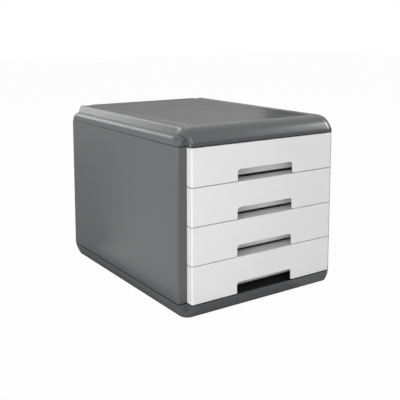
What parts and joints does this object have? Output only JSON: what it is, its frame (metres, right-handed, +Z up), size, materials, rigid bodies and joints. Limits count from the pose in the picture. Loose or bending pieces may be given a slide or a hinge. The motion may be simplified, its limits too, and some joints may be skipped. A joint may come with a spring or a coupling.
{
  "type": "desktop file drawer",
  "caption": "Desktop file drawer with a two-tier cover over sliding trays, each front with a finger notch in its lower edge.",
  "frame": {"origin": "on the surface it stands on, under the middle of the housing", "axes": "+X to the right seen from the front, +Y to the back, +Z up; drawers open towards -Y"},
  "size_m": [0.278, 0.344, 0.258],
  "materials": {
    "housing_plastic": "fine satin texture, mid grey",
    "drawer_plastic": "semi-gloss white",
    "foot_rubber": "matt black",
    "screw_steel": "zinc plated"
  },
  "bodies": {
    "housing": {"base": "housing_plastic", "left_side_panel": "housing_plastic", "right_side_panel": "housing_plastic", "back_panel": "housing_plastic", "top_cover": "housing_plastic", "base_screws": "screw_steel", "foot_front_left": "foot_rubber", "foot_front_right": "foot_rubber", "foot_rear_left": "foot_rubber", "foot_rear_right": "foot_rubber"},
    "drawer_1": {"drawer_1_tray": "drawer_plastic", "drawer_1_front": "drawer_plastic"},
    "drawer_2": {"drawer_2_tray": "drawer_plastic", "drawer_2_front": "drawer_plastic"},
    "drawer_3": {"drawer_3_tray": "drawer_plastic", "drawer_3_front": "drawer_plastic"},
    "drawer_4": {"drawer_4_tray": "drawer_plastic", "drawer_4_front": "drawer_plastic"}
  },
  "joints": [
    {"name": "drawer_1_slide", "type": "slide", "parent": "housing", "child": "drawer_1", "axis": [0, -1, 0], "range_m": [0, 0.24]},
    {"name": "drawer_2_slide", "type": "slide", "parent": "housing", "child": "drawer_2", "axis": [0, -1, 0], "range_m": [0, 0.24]},
    {"name": "drawer_3_slide", "type": "slide", "parent": "housing", "child": "drawer_3", "axis": [0, -1, 0], "range_m": [0, 0.24]},
    {"name": "drawer_4_slide", "type": "slide", "parent": "housing", "child": "drawer_4", "axis": [0, -1, 0], "range_m": [0, 0.24]}
  ]
}
